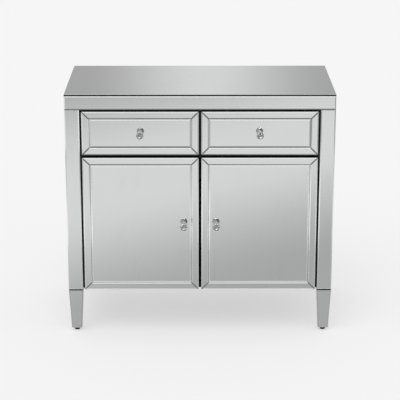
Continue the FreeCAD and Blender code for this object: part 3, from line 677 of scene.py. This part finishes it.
clothe(front_mirror, *both("drawer_panel_glass", "drawer_border_glass"))
clothe(front_mirror, *both("door_panel_glass", "door_border_glass"))
clothe(side_mirror, "side_glass")
clothe(top_mirror, "top_glass")
clothe(corner_mirror, "top_edge_glass", "front_leg_glass", "rear_leg_glass")
clothe(post_mirror_painted_shade, "post_glass")
clothe(lacquer, "top_board", "front_left_post", "front_right_post", "rear_posts")
clothe(lacquer, "drawer_deck", "drawer_divider", "top_rails", *both("drawer_front", "door_board"))
clothe(melamine, "bottom_board", "shelf", "side_panels", "side_spacers", *both("side_liner", "drawer_box"))
clothe(hardboard, "back_panel", *both("drawer_bottom"))
clothe(chrome, *both("drawer_knob_base", "door_knob_base"))
clothe(zinc, "shelf_pins", "runner_rails", "carcase_screws")
clothe(zinc, *both("runner_slides", "runner_middles", "door_strike_plate"))
clothe(japanned, "hinge_frame_leaves", "hinge_pins", *both("door_hinge_leaves"))
clothe(plastic, "foot_glides", "magnetic_catches")


# Crystal knobs

def new_piece(name, points, faces, material):
    """A mesh object at the origin from points and faces."""
    mesh = bpy.data.meshes.new(name)
    mesh.from_pydata(points.tolist(), [], faces)
    mesh.materials.append(material)
    mesh.validate()
    piece = bpy.data.objects.new(name, mesh)
    bpy.context.scene.collection.objects.link(piece)
    return piece


def cut_gem(low, high):
    """Corners of a cut crystal in its box, as a grid of rings by sides.
    Ring k is a circle whose radius and depth are shares of the box's. Every other ring is turned half a
    step, and each pair of rings is joined by triangles, so that every facet is flat."""
    centre = (low + high) / 2
    radius = (high.x - low.x) / 2
    shares = np.array(CRYSTAL_RING_SHARES)
    ring = np.arange(len(shares))[:, None]
    side = np.arange(CRYSTAL_SIDES)[None, :]
    angle = 2 * np.pi * (side + (ring % 2) / 2) / CRYSTAL_SIDES
    reach = radius * shares[:, :1]
    depth = np.broadcast_to(low.y + (high.y - low.y) * shares[:, 1:], angle.shape)
    points = np.stack([centre.x + reach * np.cos(angle), depth, centre.z + reach * np.sin(angle)], axis=-1)
    return points.reshape(-1, 3)


def gem_faces():
    """Triangles between neighbouring rings, and a flat cap at each end, all looking outwards.
    Between a plain ring and a turned one, a corner of the far ring lies half a step past the near one."""
    rings = len(CRYSTAL_RING_SHARES)
    start = np.arange(rings - 1)[:, None] * CRYSTAL_SIDES
    side = np.arange(CRYSTAL_SIDES)[None, :]
    near = start + side
    near_next = start + (side + 1) % CRYSTAL_SIDES
    far = near + CRYSTAL_SIDES
    far_next = near_next + CRYSTAL_SIDES
    turned = (np.arange(rings - 1) % 2 == 1)[:, None]
    first = np.stack([near, np.where(turned, far_next, far), near_next], -1)
    second = np.stack([np.where(turned, near, far), np.where(turned, far, far_next),
                       np.where(turned, far_next, near_next)], -1)
    triangles = np.concatenate([first.reshape(-1, 3), second.reshape(-1, 3)])
    tip = list(range(CRYSTAL_SIDES))
    base = list(range((rings - 1) * CRYSTAL_SIDES, rings * CRYSTAL_SIDES))
    return triangles.tolist() + [tip, base[::-1]]


def lobe(angle, centre, sharpness=1):
    """A rounded peak: the cosine of the turn from its centre, held above 0 and raised to a power."""
    return np.clip(np.cos(angle - centre), 0, 1) ** sharpness


def paint_facet_light(gem):
    """Stores the painted light and shade of each facet. A facet's angle round the axis is measured from +X
    towards +Z. In front, a steady level plus a painted glint in a lobe round the lower right, where light
    from above would gather. Behind, a middling level takes painted shade in a lobe round the upper right,
    and a narrow lobe paints a highlight on the facets on top. A golden-ratio step from facet to facet,
    between
    -0.5 and 0.5, makes neighbours differ, as a painted sparkle."""
    mesh = gem.data
    count = len(mesh.polygons)
    normals = np.empty(3 * count)
    mesh.polygons.foreach_get("normal", normals)
    across, along, up = normals.reshape(-1, 3).T
    angle = np.arctan2(up, across)
    flicker = (np.arange(count) * GOLDEN_STEP) % 1.0 - 0.5
    # Painted glint in front; painted shade and a painted highlight behind
    front = FRONT_LIGHT + FRONT_FLICKER * flicker
    front += GLINT_LIGHT * lobe(angle, GLINT_ANGLE, GLINT_SHARPNESS)
    rear = REAR_LIGHT + REAR_FLICKER * flicker - REAR_SHADE * lobe(angle, SHADE_ANGLE)
    rear += CROWN_LIGHT * lobe(angle, CROWN_ANGLE, CROWN_SHARPNESS)
    light = np.where(along > REAR_LEAN, rear, front)
    layer = mesh.attributes.new("facet_painted_light", "FLOAT", "FACE")
    layer.data.foreach_set("value", np.clip(light, 0, 1))


for side in ("left", "right"):
    for body in (side + "_drawer", side + "_door"):
        node = body + "_knob_crystal"
        gem = new_piece(body + "_crystal", cut_gem(*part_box(node)), gem_faces(), crystal)
        paint_facet_light(gem)
        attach(gem, body)
        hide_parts(node)


# Studio

def stage_sheet(name, corners):
    """A flat sheet of the studio, no part of the object, with its material's tree and shader."""
    material, tree, shader = new_finish(name)
    sheet = new_piece(name, np.array(corners), [[0, 1, 2, 3]], material)
    return sheet, tree, shader


def shader_mix(tree, share, first, second):
    """A shader between two shaders."""
    return add(tree, "ShaderNodeMixShader", {0: share, 1: first, 2: second}).outputs[0]


def glowing(tree, colour):
    """A surface that gives off a colour."""
    return add(tree, "ShaderNodeEmission", {"Color": colour}).outputs[0]


def pale_floor():
    """A pale floor that keeps a soft shadow. To glass alone it gives off painted bands of light and shade,
    slanting past the front, a painted reflection of a floor lit from one side."""
    half = FLOOR_HALF
    corners = [(-half, -half, 0), (half, -half, 0), (half, half, 0), (-half, half, 0)]
    _, tree, shader = stage_sheet("floor", corners)
    put(tree, shader, {"Base Color": grey(BACKDROP), "Roughness": 1.0, "Specular IOR Level": 0.0})
    aside, depth, _ = parts(tree, coordinates(tree, "Object"))
    ahead = minus(tree, FACE_Y, depth)
    across = minus(tree, ahead, times(tree, aside, BAND_SLANT))
    share = ramped(tree, across, (-BAND_REACH, BAND_REACH), smooth=False)
    stops = [((place + BAND_REACH) / (2 * BAND_REACH), level) for place, level in BAND_STOPS]
    # Painted reflection: the floor glows in these bands for glossy rays only
    bands = glowing(tree, graded(tree, share, stops))
    path = add(tree, "ShaderNodeLightPath").outputs
    seen = maths(tree, "MAXIMUM", path["Is Camera Ray"], path["Is Transmission Ray"])
    faded = times(tree, seen, 1.0 - SHADOW_SHARE)
    shaded = shader_mix(tree, faded, shader.outputs[0], glowing(tree, grey(BACKDROP)))
    surface = shader_mix(tree, path["Is Glossy Ray"], shaded, bands)
    put(tree, tree.nodes["Material Output"], {"Surface": surface})


def rear_glow():
    """A tall sheet behind the cabinet that only reflections see. It is brightest in the middle, and fades
    out towards its edges."""
    half = GLOW_HALF_WIDTH
    y = BACK_Y + GLOW_BEHIND
    corners = [(-half, y, 0), (half, y, 0), (half, y, GLOW_HEIGHT), (-half, y, GLOW_HEIGHT)]
    sheet, tree, _ = stage_sheet("rear_glow", corners)
    sheet.visible_camera = False
    sheet.visible_diffuse = False
    sheet.visible_transmission = False
    sheet.visible_shadow = False
    across, _, height = parts(tree, coordinates(tree, "Object"))
    aside = maths(tree, "ABSOLUTE", minus(tree, across, GLOW_MIDDLE))
    light = glowing(tree, ramped(tree, aside, (0.0, GLOW_SPREAD), GLOW_LEVELS))
    clear = add(tree, "ShaderNodeBsdfTransparent").outputs[0]
    upright = times(tree, ramped(tree, height, GLOW_FOOT), ramped(tree, height, GLOW_HEAD, FALLING))
    shown = times(tree, upright, ramped(tree, aside, GLOW_ENDS, FALLING))
    put(tree, tree.nodes["Material Output"], {"Surface": shader_mix(tree, shown, clear, light)})


def studio_sky():
    """Even light all round. The camera sees the plain backdrop, and reflections a softly graded room with
    a wide softbox overhead. Only the sharp reflections of polished facets see the small lamp."""
    world = bpy.data.worlds.new("studio")
    bpy.context.scene.world = world
    world.use_nodes = True
    tree = world.node_tree
    tree.nodes.clear()
    path = add(tree, "ShaderNodeLightPath").outputs
    towards = coordinates(tree, "Generated")
    room = graded(tree, parts(tree, towards)[2], SKY_STOPS)
    lights = ((LAMP_TOWARDS, LAMP_RIM, LAMP_LEVEL, "Is Singular Ray"),
              (SOFTBOX_TOWARDS, SOFTBOX_RIM, SOFTBOX_LEVEL, "Is Glossy Ray"))
    for direction, rim, level, ray in lights:
        dot = add(tree, "ShaderNodeVectorMath", {0: towards, 1: direction}, operation="DOT_PRODUCT")
        shown = times(tree, ramped(tree, dot.outputs["Value"], rim), path[ray])
        room = mixed(tree, shown, room, grey(level))
    even = add(tree, "ShaderNodeBackground", {"Color": grey(1.0), "Strength": AMBIENT}).outputs[0]
    room = add(tree, "ShaderNodeBackground", {"Color": room}).outputs[0]
    plain = add(tree, "ShaderNodeBackground", {"Color": grey(BACKDROP)}).outputs[0]
    seen = maths(tree, "MAXIMUM", path["Is Camera Ray"], path["Is Transmission Ray"])
    sky = shader_mix(tree, seen, shader_mix(tree, path["Is Glossy Ray"], even, room), plain)
    add(tree, "ShaderNodeOutputWorld", {"Surface": sky})


def soft_sun():
    """A broad soft light from above and one side. Its share of the light is what falls on the floor."""
    light = bpy.data.lights.new("soft_sun", "SUN")
    light.angle = SUN_SOFTNESS
    light.energy = SUN_SHARE * math.pi / math.sin(SUN_HEIGHT)
    lamp = bpy.data.objects.new("soft_sun", light)
    lamp.rotation_euler = (math.pi / 2 - SUN_HEIGHT, 0.0, SUN_TURN)
    lamp.visible_glossy = False
    bpy.context.scene.collection.objects.link(lamp)


def photo_camera():
    """A long lens, standing off the front and looking a little down."""
    eye = Vector((CAMERA_SIDE, FACE_Y - CAMERA_DISTANCE, TOP_Z + CAMERA_RISE))
    aim = Vector((0.0, FACE_Y, AIM_HEIGHT))
    lens = bpy.data.cameras.new("camera")
    lens.sensor_width = SENSOR
    lens.lens = LENS
    camera = bpy.data.objects.new("camera", lens)
    camera.location = eye
    camera.rotation_euler = (aim - eye).to_track_quat("-Z", "Y").to_euler()
    bpy.context.scene.collection.objects.link(camera)
    bpy.context.scene.camera = camera


pale_floor()
rear_glow()
studio_sky()
soft_sun()
photo_camera()
bpy.context.scene.view_settings.view_transform = "Standard"
